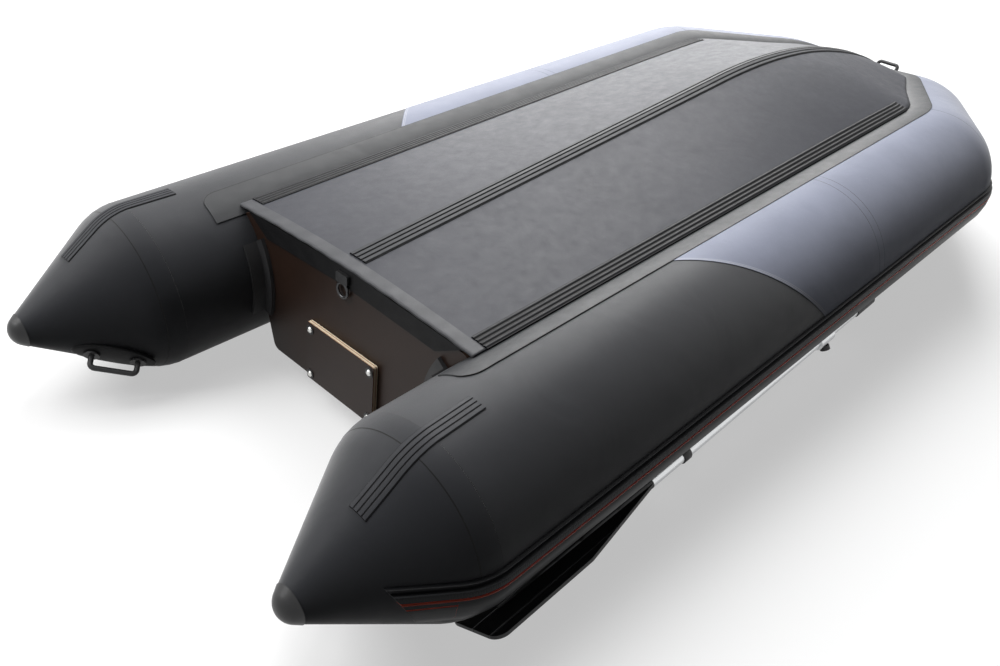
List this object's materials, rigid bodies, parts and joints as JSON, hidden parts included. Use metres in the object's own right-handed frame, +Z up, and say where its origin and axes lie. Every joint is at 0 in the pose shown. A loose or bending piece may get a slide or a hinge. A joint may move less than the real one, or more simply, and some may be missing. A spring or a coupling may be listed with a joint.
{
  "type": "inflatable boat",
  "caption": "Inflatable motor boat of coated fabric lying bottom up: side tubes with stern cones and a pointed bow, V bottom with ribbed strakes, plywood transom and stowed oars.",
  "frame": {"origin": "centre of the boat's footprint, on the floor it lies on", "axes": "+X to the bow, +Z up (the boat lies bottom up), port tube on -Y"},
  "size_m": [3.616, 1.5998, 0.6681],
  "materials": {
    "black_fabric": "matte coated fabric",
    "blue_grey_fabric": "matte coated fabric",
    "deck_fabric": "embossed coated fabric",
    "black_rubber": "matte moulded rubber",
    "black_plastic": "matte moulded plastic",
    "film_plywood": "brown film-faced plywood",
    "shaft_metal": "anodised tube",
    "ring_metal": "stainless wire"
  },
  "bodies": {
    "hull": {"port_tube_aft": "black_fabric", "port_tube_fore": "blue_grey_fabric", "port_bow_shoulder": "blue_grey_fabric", "port_bow_nose": "blue_grey_fabric", "port_rub_shoulder": "black_rubber", "port_rub_nose": "black_rubber", "port_rub_side": "black_rubber", "port_stern_cone": "black_fabric", "port_cone_cap": "black_plastic", "port_seam_strip": "black_rubber", "port_bottom_panel": "black_fabric", "port_chine_strake": "black_rubber", "starboard_tube_aft": "black_fabric", "starboard_tube_fore": "blue_grey_fabric", "starboard_bow_shoulder": "blue_grey_fabric", "starboard_bow_nose": "blue_grey_fabric", "starboard_rub_shoulder": "black_rubber", "starboard_rub_nose": "black_rubber", "starboard_rub_side": "black_rubber", "starboard_stern_cone": "black_fabric", "starboard_cone_cap": "black_plastic", "starboard_seam_strip": "black_rubber", "starboard_bottom_panel": "black_fabric", "starboard_chine_strake": "black_rubber", "keel_strake": "black_rubber", "transom": "film_plywood", "transom_skirt": "black_fabric", "motor_pad_outer": "film_plywood", "motor_pad_inner": "film_plywood", "port_transom_holder": "black_rubber", "starboard_transom_holder": "black_rubber", "transom_ring": "ring_metal", "bow_handle": "black_rubber", "port_stern_handle": "black_rubber", "starboard_stern_handle": "black_rubber", "port_rowlock": "black_plastic", "port_oar_clip": "black_plastic", "starboard_rowlock": "black_plastic", "starboard_oar_clip": "black_plastic", "air_deck": "deck_fabric", "aft_bench": "film_plywood", "fore_bench": "film_plywood", "port_valves": "black_plastic", "starboard_valves": "black_plastic"},
    "port_oar": {"port_oar_shaft": "shaft_metal", "port_oar_grip": "black_rubber", "port_oar_blade": "black_plastic"},
    "starboard_oar": {"starboard_oar_shaft": "shaft_metal", "starboard_oar_grip": "black_rubber", "starboard_oar_blade": "black_plastic"}
  },
  "joints": [
    {"name": "port_oar_swing", "type": "hinge", "parent": "hull", "child": "port_oar", "pos_m": [0.02617, -0.668, 0.08949], "axis": [-0.0501, 0.5079, 0.8599], "range_deg": [0, 100]},
    {"name": "starboard_oar_swing", "type": "hinge", "parent": "hull", "child": "starboard_oar", "pos_m": [0.02617, 0.668, 0.08949], "axis": [0.0501, 0.5079, -0.8599], "range_deg": [0, 100]}
  ]
}
